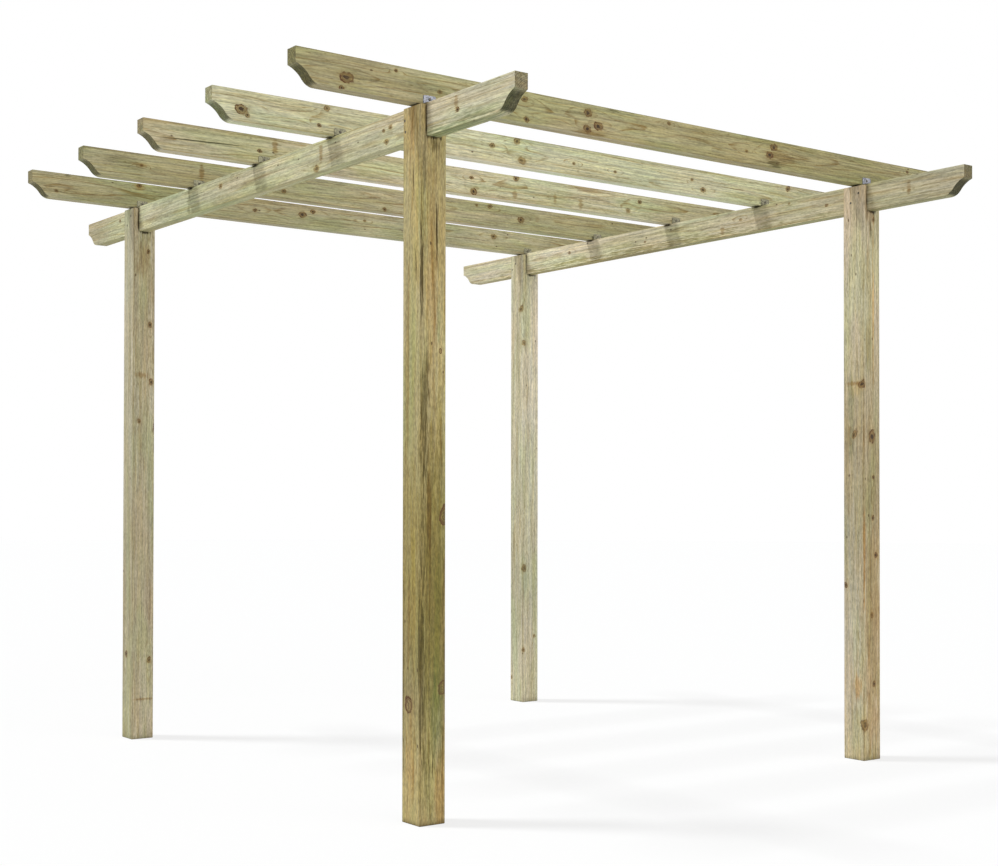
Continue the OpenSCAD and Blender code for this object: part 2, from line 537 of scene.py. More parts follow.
def timber_finish(node, wood):
    bench = Bench(f"{node}_finish")
    at, along, first, second = in_the_timber(bench, node)
    seed = wood["seed"]
    knot, flow = nearest_knot(bench, node, wood, at)
    ring, summer = year_rings(bench, wood, at, along, first, second, flow)
    streaks = stretched(bench, at, 700, 20, 3.0, seed)
    lines = stretched(bench, at, 260, 6.0, 3.0, seed + 20).step(*SPREAD)
    fibres = stretched(bench, at, 45, 3.0, 3.0, seed + 40).step(*SPREAD)
    ticks = stretched(bench, at, 30, 3.0, 2.0, seed + 50)
    mottle = stretched(bench, at, 180, 12, 2.0, seed + 70)
    soak = stretched(bench, at, 420, 75, 3.0, seed + 60)
    fuzz = stretched(bench, at, 13, 4.5, 2.0, seed + 30).step(*SPREAD)

    summer = summer * (mottle.step(0.38, 0.60) * 0.65 + 0.35)
    colour = bench.mix(summer, tone_along(bench, node, wood, along), SUMMER, "MULTIPLY")
    for share, tint in ((soak.step(0.44, 0.66) * wood["green"], GREEN),
                        (soak.step(0.48, 0.30) * 0.5, PINK),
                        (mottle.step(0.42, 0.62) * wood["yellow"], YELLOW),
                        (streaks.step(0.44, 0.74) * wood["streak"], STREAK),
                        (ticks.step(0.62, 0.72) * wood["ticks"], TICK)):
        colour = bench.mix(share, colour, tint, "MULTIPLY")
    shade = 0.99 + (lines - 0.5) * wood["figure"] + (fibres - 0.5) * wood["figure"]
    shade = shade + (fuzz - 0.5) * wood["fuzz"]
    grey = bench.node("ShaderNodeCombineColor", {}, shade, shade, shade)
    colour = bench.mix(1.0, colour, grey, "MULTIPLY")
    colour = with_stains(bench, node, wood, colour, at, fibres)
    colour = with_knots(bench, wood, colour, knot, at)
    colour = with_specks(bench, colour, at, seed)
    colour = with_edges(bench, node, wood, colour, first, second, streaks)
    colour = with_ends(bench, node, colour, ring, at, seed)

    height = fibres * 0.6 + lines * 0.5 + fuzz * 0.3 + summer * 0.5 + knot.step(1.1, 0.8) * 0.5
    bump = bench.node("ShaderNodeBump", {}, Strength=0.45, Distance=GRAIN_DEPTH, Height=height)
    rough = 0.66 + fibres * 0.18 - knot.step(1.2, 0.6) * 0.14
    shader = bench.node("ShaderNodeBsdfPrincipled", {}, **{
        "Base Color": colour, "Roughness": rough, "Normal": bump, "Specular IOR Level": 0.25})
    bench.node("ShaderNodeOutputMaterial", {}, Surface=shader)
    return bench.material


print("summer wood keeps", SUMMER, "of the wood's colour")

# %% [markdown]
# ## Each timber's own wood
# No two timbers come out of the same part of a tree. Each entry says where the pith ran, how
# the timber leans against it and how strong the rings are. Its knots are listed by face: the
# place along from the timber's middle, the place across, the radius, and how much lower the
# branch started at the pith. Branches grow in whorls, so knots often come two or three
# together. Its stains give a length and a width, a colour and how much of it. The tones are
# places along the timber, each with what it does to the wood's red, green and blue.
# Distances along are in metres, and all others in millimetres.

# %% Kinds of wood
OLIVE = (0.485, 0.440, 0.255)
LEAF = (0.620, 0.580, 0.395)
PALE = (0.665, 0.615, 0.440)
HONEY = (0.480, 0.405, 0.205)
TAN = (0.560, 0.505, 0.345)
# The next colour, for the beams' edges, is partly rubbed wear and partly a painted highlight.
RUBBED_AND_HIGHLIT = (1.14, 1.14, 1.12)
KNOCKED = (0.80, 0.75, 0.64)
USUAL = {"contrast": 0.9, "green": 0.7, "yellow": 0.3, "streak": 0.6, "ticks": 0.7, "gap": 5.5,
         "drift": 50, "lift": 11, "edge": KNOCKED, "figure": 0.33, "fuzz": 0.16, "heart": 1.0,
         "bark": 0.4}
USUAL_POST = {"drift": 30, "contrast": 0.6, "figure": 0.27, "fuzz": 0.27}
USUAL_BEAM = {"drift": 26, "lift": 6, "edge": RUBBED_AND_HIGHLIT, "contrast": 0.8}


def own_wood(seed, tone, pith, knots, tones, stains=None, **own):
    """What is usual, then what is this timber's own, with millimetres turned to metres."""
    return {**USUAL, **own, "seed": float(seed), "tone": tone, "tones": tones,
            "pith": tuple(p * MM for p in pith),
            "knots": [(along, face, side * MM, radius * MM, tilt)
                      for face, rows in knots.items() for along, side, radius, tilt in rows],
            "stains": [(along, face, side * MM, long * MM, wide * MM, shade, amount)
                       for face, rows in (stains or {}).items()
                       for along, side, long, wide, shade, amount in rows]}


print("usual year rings are", USUAL["gap"], "mm apart")

# %% [markdown]
# ### Posts
# The front left post is the warmest and roughest, with long dark flames and a darker stretch
# low down. The others are paler and calmer, so they share their usual traits.

# %% The posts' wood
POST_WOOD = {
    "post_front_left": own_wood(
        1, HONEY, pith=(16, -6), lean=(0.006, -0.004), contrast=0.65, green=0.6, yellow=0.35, gap=6.5,
        drift=35, figure=0.16, fuzz=0.36, ticks=0.45, streak=0.5, heart=0.2, bark=0.9,
        knots={
            FRONT: [(-0.15, 40, 17, 0.03), (-0.64, 32, 12, 0.02), (0.324, 25, 5, 0.01)],
            LEFT: [(-0.69, 10, 15, 0.03)],
            BACK: [(-0.35, -18, 12, 0.03), (0.40, 10, 11, 0.03)],
            RIGHT: [(0.62, 10, 14, 0.03), (-0.30, -16, 12, 0.03)]},
        stains={
            FRONT: [(0.50, 30, 480, 18, GOLD, 0.4), (0.55, -8, 420, 24, RUSSET, 0.6),
                    (0.05, 12, 330, 16, RUSSET, 0.3), (-0.45, 16, 300, 15, FERN, 0.6),
                    (-0.92, 20, 130, 22, RUSSET, 0.6), (0.56, -42, 150, 7, SPLIT_SHADE, 0.9),
                    # The dark mark at 0.915, just under the beam, is painted shade.
                    (0.68, 11, 90, 5, SPLIT_SHADE, 0.9), (0.915, 4, 34, 18, DARK, 0.9),
                    (0.84, -32, 90, 9, DARK, 0.7), (0.13, -28, 250, 15, DARK, 1.0),
                    (-0.12, -14, 150, 9, BROWN, 0.8), (-0.30, -34, 160, 10, DARK, 0.5),
                    (-0.58, -40, 320, 12, DARK, 0.9), (0.40, 18, 80, 7, BLUE, 0.9),
                    (-0.74, 16, 150, 26, BLUE, 0.7), (-0.86, -2, 60, 5, SPLIT_SHADE, 0.6),
                    (-0.36, 5, 640, 58, UMBER, 0.9), (0.75, 0, 330, 50, DUN, 0.8)],
            # The two gold marks on this face are partly the wood's golden colour and partly painted light.
            LEFT: [(0.70, -20, 300, 26, GOLD, 0.6), (0.30, -8, 360, 18, FERN, 0.25),
                   (-0.30, -12, 300, 18, GOLD, 0.8), (-0.86, 0, 160, 26, RUSSET, 0.7),
                   (0.81, -8, 60, 4, SPLIT_SHADE, 0.8), (0.56, -22, 50, 4, SPLIT_SHADE, 0.7),
                   (0.25, 20, 330, 12, BROWN, 0.7), (-0.45, 12, 240, 9, BROWN, 0.6),
                   (-0.60, 40, 330, 9, DARK, 0.8), (0.95, 10, 120, 40, ROSY, 0.8)]},
        tones=[(-1.027, (0.40, 0.36, 0.32)), (-1.016, (1.00, 0.95, 0.92)), (-0.86, (0.98, 0.95, 0.95)),
               (-0.65, (0.73, 0.71, 0.65)), (-0.40, (0.68, 0.64, 0.50)), (-0.12, (0.72, 0.72, 0.60)),
               (0.12, (0.94, 0.97, 0.98)), (0.38, (1.04, 1.04, 1.13)), (0.62, (0.94, 0.97, 1.00)),
               (1.03, (1.04, 1.00, 1.02))]),
    "post_front_right": own_wood(
        2, TAN, pith=(-20, 20), lean=(-0.006, 0.004), **USUAL_POST,
        knots={
            LEFT: [(0.314, -38, 9, 0.02), (0.133, -2, 8, 0.03), (-0.406, 35, 6, 0.02)],
            FRONT: [(0.126, 0, 15, 0.04), (-0.017, 8, 5, 0.02), (-0.164, 5, 6, 0.02), (-0.297, 21, 7, 0.02),
                    (-0.51, -1, 8, 0.02), (-0.757, 9, 7, 0.02), (-0.90, -38, 14, -0.03),
                    (0.906, 11, 6, 0.02)],
            RIGHT: [(-0.1, 12, 14, 0.03)],
            BACK: [(0.5, -12, 13, 0.03), (-0.6, 16, 12, 0.03)]},
        stains={
            FRONT: [(-0.30, -42, 230, 5, ORANGE, 0.9), (0.95, -10, 60, 26, BROWN, 0.7),
                    (0.60, 8, 300, 7, ORANGE, 0.8), (-0.60, 0, 520, 60, ROSY, 0.9),
                    (0.86, -6, 60, 8, DARK, 0.9), (-0.40, 4, 700, 46, DUN, 1.0)],
            LEFT: [(-0.764, -16, 50, 22, ORANGE, 0.8), (0.20, 10, 190, 16, MOSS, 0.6),
                   (-0.62, -4, 640, 50, SILVER, 0.9), (0.318, -2, 9, 38, BROWN, 0.8),
                   (0.30, -10, 34, 36, GOLD, 0.6)]},
        tones=[(-1.027, (0.65, 0.60, 0.55)), (-1.01, (1.05, 0.95, 0.90)), (-0.62, (0.97, 0.93, 0.95)),
               (-0.38, (0.90, 0.88, 0.85)), (-0.12, (0.75, 0.70, 0.65)), (0.12, (0.80, 0.76, 0.72)),
               (0.38, (0.90, 0.87, 0.85)), (0.62, (1.10, 1.05, 1.15)), (1.03, (1.07, 1.02, 1.07))]),
    "post_back_left": own_wood(
        3, TAN, pith=(24, 18), lean=(0.004, 0.003), **USUAL_POST,
        knots={
            FRONT: [(0.576, 24, 8, 0.02), (0.354, 30, 9, 0.02), (0.86, 16, 6, 0.02), (-0.726, 26, 8, 0.02),
                    (0.20, -20, 6, 0.02)],
            LEFT: [(-0.703, 10, 9, 0.02)],
            RIGHT: [(0.15, -14, 13, 0.03)],
            BACK: [(-0.3, 16, 12, 0.03), (0.6, -12, 12, 0.03)]},
        stains={
            FRONT: [(0.379, -10, 14, 34, BROWN, 0.8), (-0.875, 0, 6, 46, BROWN, 0.9),
                    (0.83, -8, 90, 30, BROWN, 0.6), (0.60, 0, 560, 50, ROSY, 0.5)],
            LEFT: [(-0.20, 0, 700, 50, DUN, 0.6)]},
        tones=[(-1.027, (0.60, 0.60, 0.60)), (-1.01, (0.90, 0.88, 0.92)), (-0.62, (0.84, 0.81, 0.83)),
               (-0.25, (0.78, 0.78, 0.78)), (0.12, (0.89, 0.90, 0.95)), (0.38, (0.88, 0.93, 1.00)),
               (1.03, (0.94, 0.95, 1.00))]),
    "post_back_right": own_wood(
        4, PALE, pith=(-16, 20), lean=(0.003, -0.005), **USUAL_POST,
        knots={
            LEFT: [(0.776, -30, 9, 0.02), (-0.92, 38, 6, 0.02)],
            FRONT: [(0.619, -39, 9, 0.02), (-0.414, -36, 12, 0.02), (-0.788, -40, 7, 0.02),
                    (-0.728, 22, 5, 0.02)],
            RIGHT: [(0.1, -10, 13, 0.03)],
            BACK: [(0.45, 12, 13, 0.03), (-0.2, -14, 12, 0.03)]},
        stains={
            LEFT: [(0.55, 0, 1100, 50, DUN, 1.0), (0.85, 0, 400, 50, DUN, 0.7),
                   (-0.50, 0, 500, 50, DUN, 0.4)]},
        tones=[(-1.027, (0.65, 0.65, 0.65)), (-1.01, (0.95, 0.93, 0.98)), (-0.62, (0.82, 0.83, 0.88)),
               (-0.12, (0.87, 0.91, 0.95)), (0.30, (1.03, 1.05, 1.17)), (1.03, (1.11, 1.10, 1.22))])
}
print(sum(len(w["knots"]) for w in POST_WOOD.values()), "knots on", len(POST_WOOD), "posts")

# %% [markdown]
# ### Beams
# The beams were cut a little away from the pith, so their faces show long calm stripes. Their
# edges are paler where others' are dark: partly rubbed, and partly a painted highlight.

# %% The beams' wood
BEAM_WOOD = {
    "beam_left": own_wood(
        5, PALE, pith=(46, -14), lean=(0.004, 0.010), **USUAL_BEAM,
        knots={
            LEFT: [(-1.155, -3, 6, 0.02), (-0.82, 13, 6, 0.02), (-0.785, 9, 5, 0.02), (-0.80, -27, 7, 0.02),
                   (-0.40, -36, 11, 0.03), (0.25, 16, 8, 0.02), (1.10, 18, 5, 0.02)]},
        stains={
            # The last mark on this face, a narrow dark band under rafter_4, is a painted shadow of that
            # rafter.
            LEFT: [(-1.148, 14, 9, 30, BROWN, 0.7), (-0.426, 6, 12, 36, BROWN, 0.8),
                   (0.498, -2, 14, 55, DARK, 0.6)],
            # The underside marks are painted shade.
            UNDER: [(-1.17, 0, 210, 34, MOSS, 1.0), (0.85, 0, 260, 40, DUN, 1.0)]},
        # These tones are partly the wood's own colour and partly painted shade.
        tones=[(-1.40, (0.91, 0.91, 0.95)), (-0.70, (0.87, 0.87, 0.86)), (-0.42, (0.82, 0.83, 0.80)),
               (-0.14, (0.94, 0.94, 0.91)), (0.30, (0.77, 0.79, 0.75)), (0.70, (0.79, 0.86, 0.82)),
               (0.98, (1.08, 1.07, 1.09)), (1.30, (0.70, 0.68, 0.64))]),
    "beam_right": own_wood(
        6, PALE, pith=(42, 12), lean=(0.003, -0.009), heart=0.6, **USUAL_BEAM,
        knots={
            LEFT: [(-0.402, 8, 5, 0.02), (0.135, -6, 4, 0.02), (-0.826, -1, 5, 0.02), (-0.647, 33, 4, 0.02),
                   (0.62, 12, 6, 0.03), (-1.187, -6, 5, 0.02)]},
        stains={
            LEFT: [(-0.305, -20, 12, 24, BROWN, 0.7), (-1.187, 4, 9, 30, BROWN, 0.6)],
            # The underside marks are painted shade.
            UNDER: [(0.30, 0, 1300, 40, UMBER, 1.0), (0.45, 0, 700, 40, DUN, 1.0)]},
        # These tones are partly the wood's own colour and partly painted shade.
        tones=[(-1.30, (0.69, 0.70, 0.69)), (-0.98, (0.74, 0.73, 0.67)), (-0.10, (0.89, 0.87, 0.89)),
               (0.20, (0.84, 0.83, 0.83)), (0.45, (1.00, 0.97, 1.00)), (0.75, (1.16, 1.15, 1.26)),
               (1.30, (0.95, 0.92, 0.97))])
}
print(sum(len(w["knots"]) for w in BEAM_WOOD.values()), "knots on", len(BEAM_WOOD), "beams")

# %% [markdown]
# ### Rafters
# The rafters hold the most knots and the strongest rings. The front one and the two at the back
# are olive, and the two between them are paler.

# %% The rafters' wood
RAFTER_WOOD = {
    "rafter_1": own_wood(
        7, OLIVE, pith=(38, 4), lean=(0.002, 0.008),
        knots={
            FRONT: [(-1.249, -13, 14, 0.03), (-1.263, -45, 6, 0.01), (-1.081, 33, 4, 0.01),
                    (-0.927, -4, 6, 0.02), (-0.613, 23, 8, 0.03), (-0.606, -36, 7, 0.02),
                    (-0.36, 19, 11, 0.02), (-0.364, -30, 10, 0.02), (-0.318, -16, 12, 0.03),
                    (-0.013, 36, 5, 0.02), (0.347, -6, 5, 0.02), (0.481, 24, 11, 0.03),
                    (0.46, -4, 11, 0.02), (1.196, 29, 5, 0.02)]},
        stains={
            FRONT: [(0.487, -32, 34, 13, DARK, 1.0), (0.52, -4, 90, 26, BROWN, 0.7),
                    (-0.256, 44, 30, 8, DARK, 0.8), (-0.35, -42, 60, 12, BROWN, 0.8)]},
        tones=[(-1.35, (0.82, 0.80, 0.79)), (-0.95, (0.94, 0.95, 0.98)), (-0.40, (0.93, 0.89, 0.91)),
               (0.15, (0.82, 0.84, 0.78)), (0.55, (0.80, 0.78, 0.70)), (1.35, (0.80, 0.80, 0.80))]),
    "rafter_2": own_wood(
        8, LEAF, pith=(36, -8), lean=(0.001, -0.010),
        knots={
            FRONT: [(-1.313, -11, 14, 0.03), (-1.292, -26, 6, 0.02), (-1.013, 35, 7, 0.02),
                    (-1.041, -21, 5, 0.02), (-0.365, 6, 8, 0.02), (-0.259, 35, 9, 0.02),
                    (-0.238, -27, 11, 0.04), (-0.005, -8, 5, 0.02), (0.189, -13, 5, 0.02),
                    (0.571, 6, 5, 0.02), (0.629, -25, 9, 0.02), (1.097, 34, 8, 0.02)]},
        tones=[(-1.30, (1.04, 1.10, 1.13)), (-0.90, (1.10, 1.14, 1.16)), (-0.20, (1.15, 1.24, 1.32)),
               (0.30, (1.00, 1.10, 1.10)), (1.00, (1.13, 1.14, 1.20)), (1.35, (0.88, 0.90, 0.96))]),
    "rafter_3": own_wood(
        9, LEAF, pith=(42, 10), lean=(0.002, 0.009),
        knots={
            FRONT: [(-0.982, -5, 6, 0.02), (-0.085, 16, 6, 0.02), (-0.076, -34, 10, 0.02),
                    (0.127, 38, 9, 0.02), (0.764, 21, 7, 0.02), (0.70, -20, 8, 0.02)]},
        stains={
            FRONT: [(-0.923, 16, 12, 30, BROWN, 0.9), (0.121, -26, 12, 22, BROWN, 0.8),
                    (0.32, -17, 10, 26, BROWN, 0.7), (0.45, -20, 14, 26, BROWN, 0.8),
                    (0.50, 38, 120, 12, BROWN, 0.8)]},
        tones=[(-1.30, (0.89, 0.86, 0.85)), (-0.98, (0.97, 0.93, 0.95)), (-0.40, (1.06, 1.04, 1.07)),
               (0.14, (1.02, 1.03, 1.06)), (0.70, (1.05, 1.08, 1.14)), (1.00, (0.84, 0.83, 0.77)),
               (1.30, (0.66, 0.64, 0.56))]),
    "rafter_4": own_wood(
        10, OLIVE, pith=(40, 12), lean=(0.001, 0.012),
        knots={
            FRONT: [(-0.611, -17, 7, 0.02), (-0.153, -36, 6, 0.02), (0.302, 31, 5, 0.02),
                    (0.371, 34, 8, 0.02), (0.535, -4, 11, 0.03), (-1.19, 5, 5, 0.02)]},
        stains={
            FRONT: [(-1.28, 18, 90, 18, DARK, 0.5), (-1.19, 5, 40, 12, BROWN, 0.8),
                    (-0.954, 12, 12, 40, BROWN, 0.9)]},
        tones=[(-1.30, (0.93, 0.95, 1.00)), (-0.90, (0.87, 0.90, 0.90)), (-0.40, (0.94, 0.95, 1.03)),
               (0.14, (1.02, 0.98, 1.10)), (1.00, (0.87, 0.94, 0.95)), (1.30, (0.77, 0.77, 0.77))]),
    "rafter_5": own_wood(
        11, OLIVE, pith=(44, 8), lean=(0.002, 0.007),
        knots={
            FRONT: [(-1.315, -22, 5, 0.02), (-0.978, 38, 7, 0.02), (-0.466, 0, 7, 0.02),
                    (-0.242, 6, 12, 0.03), (-0.191, 23, 8, 0.02), (0.068, 13, 5, 0.02),
                    (0.766, 16, 11, 0.03)]},
        stains={
            FRONT: [(-1.271, 46, 16, 8, DARK, 0.9), (-0.978, 30, 30, 14, ORANGE, 0.7)]},
        tones=[(-1.30, (0.89, 0.92, 0.98)), (-0.70, (0.84, 0.86, 0.85)), (-0.30, (0.88, 0.88, 0.95)),
               (0.10, (0.99, 1.02, 1.14)), (0.40, (0.85, 0.89, 1.00)), (0.75, (1.12, 1.14, 1.30)),
               (1.30, (0.90, 0.92, 0.93))])
}
print(sum(len(w["knots"]) for w in RAFTER_WOOD.values()), "knots on", len(RAFTER_WOOD), "rafters")

# %% [markdown]
# ### Painted shade in the joints
# Where timbers meet, the corner lies in shade. The eased edges leave a real hollow there, but it
# is only millimetres deep, so a dark mark of painted shade along each joint helps it to read
# from a distance. The marks take their places from the parts that meet.

# %% Painted shade at the joints
def post_slot_shade_marks():
    """Painted shade along the edges of a post's slot, where the beam goes in."""
    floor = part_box("beam_left")[0].z - middle(POSTS[0]).z
    wall = size("beam_left").x / 2
    marks = []
    for face in (FRONT, BACK):
        marks += [(floor + 47.5 * MM, face, side * (wall + 2.5 * MM), 60 * MM, 4.5 * MM, PAINTED_JOINT_SHADE, 0.9)
                  for side in (-1, 1)]
        marks.append((floor - 3.5 * MM, face, 0.0, 7 * MM, wall + 4.5 * MM, PAINTED_JOINT_SHADE, 0.9))
    return marks


def beam_edge_shade_marks():
    """Painted shade: the dark line along a beam's top edges, under each rafter."""
    top = size("beam_left").z / 2
    half = size("rafter_1").y / 2
    return [(middle(rafter).y, face, top - 1 * MM, half + 5 * MM, 8 * MM, PAINTED_JOINT_SHADE, 1.0)
            for rafter in RAFTERS for face in (LEFT, RIGHT)]


def rafter_underside_shade_marks():
    """Painted shade: the dark line across a rafter's underside, each side of a beam."""
    beam, rafter = size("beam_left"), size("rafter_1")
    return [(end * SEAT + side * (beam.x / 2 + 4 * MM), UNDER, 0.0, 9 * MM, rafter.y / 2, PAINTED_JOINT_SHADE, 1.0)
            for end in (-1, 1) for side in (-1, 1)]


WOOD = {**POST_WOOD, **BEAM_WOOD, **RAFTER_WOOD}
JOINT_SHADE_MARKS = {"post": post_slot_shade_marks(), "beam": beam_edge_shade_marks(), "rafter": rafter_underside_shade_marks()}
for node in WOOD:
    WOOD[node]["stains"] += JOINT_SHADE_MARKS[KIND[node]]
FINISH = {node: timber_finish(node, WOOD[node]) for node in WOOD}
print(len(FINISH), "timber finishes,", sum(len(w["stains"]) for w in WOOD.values()), "marks")

# %% [markdown]
# ## Dark wood inside cracks
# A drying crack or a screw's countersink opens onto wood that the planer never touched. It is
# dark mostly because no light gets in, and its dull brown finish is also painted far darker
# than raw wood, as painted shade, with a little fibre.

# %% Finish for cut wood, with painted shade
def shaded_cut_wood_finish():
    bench = Bench("shaded_cut_wood")
    at = bench.node("ShaderNodeTexCoord", out="Object")
    fibre = bench.noise(at, 300.0, 2.0)
    # These browns are painted shade: far darker than raw wood is under light.
    colour = bench.mix(fibre, (0.060, 0.042, 0.022), (0.13, 0.095, 0.052))
    bump = bench.node("ShaderNodeBump", {}, Strength=0.4, Distance=0.4 * MM, Height=fibre)
    shader = bench.node("ShaderNodeBsdfPrincipled", {}, **{
        "Base Color": colour, "Roughness": 0.9, "Normal": bump, "Specular IOR Level": 0.1})
    bench.node("ShaderNodeOutputMaterial", {}, Surface=shader)
    return bench.material


SHADED_CUT_WOOD = shaded_cut_wood_finish()
print("finish for cuts:", SHADED_CUT_WOOD.name)

# %% [markdown]
# ## Shaping a timber
# The fixed model has knife-sharp edges. A planed timber has its long edges rounded to a few
# millimetres, and its sawn ends, curves and slots only rubbed with paper. It could be one Bevel
# modifier, but two passes in bmesh give each kind of edge its own radius. The wide rounding is
# also what leaves a dark slit where a rafter crosses a beam.

# %% Copy and ease
LONG_EASE = 4.0 * MM
SLOT_EASE = 2.0 * MM
SAWN_EASE = 1.3 * MM
SLOT_ROOM = 1.3 * MM
SHARP = radians(32)
STRAIGHT = 0.999


def open_slot(mesh, node):
    """Moves the walls of a post's slot apart, so that the beam in it has a dark line each side."""
    post, beam = middle(node), size("beam_left")
    for vert in mesh.verts:
        aside = vert.co.x - post.x
        if abs(abs(aside) - beam.x / 2) < NEAR:
            vert.co.x += SLOT_ROOM if aside > 0 else -SLOT_ROOM


def whole_copy(node):
    """A bmesh of a model node, with corners that the file split joined and flat faces whole."""
    mesh = bmesh.new()
    mesh.from_mesh(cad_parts[node].data)
    bmesh.ops.remove_doubles(mesh, verts=mesh.verts, dist=0.01 * MM)
    bmesh.ops.dissolve_limit(mesh, angle_limit=radians(1), verts=mesh.verts, edges=mesh.edges)
    return mesh


def is_long_edge(edge, node):
    """True for the edges that run the timber's whole length at the corners of its section."""
    run = RUN[node]
    low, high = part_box(node)
    start, end = (v.co for v in edge.verts)
    if abs(end[run] - start[run]) < STRAIGHT * (end - start).length:
        return False
    centre = (start + end) / 2
    return all(min(centre[a] - low[a], high[a] - centre[a]) < NEAR for a in across(run))


def sharp_edges(mesh):
    return [e for e in mesh.edges if len(e.link_faces) == 2 and e.calc_face_angle(0) > SHARP]


def round_off(mesh, edges, radius, steps):
    bmesh.ops.bevel(mesh, geom=edges, offset=radius, offset_type="OFFSET", segments=steps,
                    profile=0.5, affect="EDGES", clamp_overlap=True)


def ease(mesh, node):
    """Rounds the long edges widely, and the sawn or slotted ones a little."""
    if node in POSTS:
        open_slot(mesh, node)
    round_off(mesh, [e for e in mesh.edges if is_long_edge(e, node)], LONG_EASE, steps=5)
    round_off(mesh, sharp_edges(mesh), SLOT_EASE if node in POSTS else SAWN_EASE, steps=3)
    return mesh


print("edges along the grain are rounded to", round(LONG_EASE / MM, 1), "mm")

# %% [markdown]
# ## Bow and ripple
# Timber moves as it dries. A board bows a millimetre or two sideways, and its faces are never
# dead flat. The bow is nothing at the supports, so that nothing comes away from its seat. The
# timber is first sliced into short lengths, to give it points that can move.

# %% Slices, bow and ripple
SLICE = 45 * MM
RIPPLE = 0.5 * MM
RIPPLES_PER_METRE = 9
RIPPLE_STRETCH = 0.4


def slice_up(mesh, node):
    run = RUN[node]
    low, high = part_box(node)
    normal = Vector([1.0 if a == run else 0.0 for a in range(3)])
    place = low[run] + SLICE
    while place < high[run] - SLICE / 2:
        everything = mesh.verts[:] + mesh.edges[:] + mesh.faces[:]
        bmesh.ops.bisect_plane(mesh, geom=everything, dist=1e-7, plane_co=normal * place,
                               plane_no=normal)
        place += SLICE


def weather(mesh, node):
    """Bows the timber sideways between its seats and ripples its faces, always inward."""
    run = RUN[node]
    centre = middle(node)
    side = across(run)[0]
    for vert in mesh.verts:
        along = (vert.co[run] - centre[run]) / SEAT
        inward = centre - vert.co
        inward[run] = 0
        place = Vector(vert.co) * RIPPLES_PER_METRE
        place[run] *= RIPPLE_STRETCH
        amount = 0.5 + 0.5 * noise.noise(place + Vector((WOOD[node]["seed"], 0, 0)))
        vert.co += inward.normalized() * RIPPLE * amount
        vert.co[side] += BOW.get(node, 0.0) * MM * (1 - along * along)


print("a rafter is cut in", round(size("rafter_1").x / SLICE), "slices")

# %% [markdown]
# ## Drying cracks
# As timber dries its outside shrinks first and opens in long narrow splits along the grain. Each
# is cut as a thin wedge that tapers to nothing at both ends and follows the grain's slight
# wander. A texture could draw a dark line, but a cut casts its own shadow from every side.
# Each row names a face, then where the crack starts and ends, both in metres along and
# millimetres across, and then its width and depth in millimetres.

# %% Cracks
CRACK_STEPS = 16
CRACK_WANDER = 1.2 * MM
CRACK_TIP = 0.03
CRACK_FULLNESS = 0.6
PROUD = 1 * MM


def to_model(node, local):
    """A place given as (along, across, across) from a timber's middle, in the model's axes."""
    point = Vector(middle(node))
    for axis, value in zip((RUN[node], *across(RUN[node])), local):
        point[axis] += value
    return point


def add_wedge(cutter, node, face, start, end, width, depth):
    """Adds one closed wedge to a cutter, from start to end, each (along, side) on the face."""
    rows = []
    for i in range(CRACK_STEPS + 1):
        t = i / CRACK_STEPS
        along = start[0] + (end[0] - start[0]) * t
        bend = CRACK_WANDER * noise.noise(Vector((t * 4 + along * 10, 3.0, 7.0)))
        side = (start[1] + (end[1] - start[1]) * t) * MM + bend
        swell = max(sin(pi * t), CRACK_TIP) ** CRACK_FULLNESS
        half = width / 2 * swell * MM
        row = [(side - half, PROUD), (side + half, PROUD), (side, -depth * swell * MM)]
        rows.append([cutter.verts.new(to_model(node, on_face(node, along, face, s, out)))
                     for s, out in row])
    for a, b in zip(rows, rows[1:]):
        for i in range(3):
            cutter.faces.new((a[i], a[(i + 1) % 3], b[(i + 1) % 3], b[i]))
    cutter.faces.new(rows[0])
    cutter.faces.new(rows[-1][::-1])


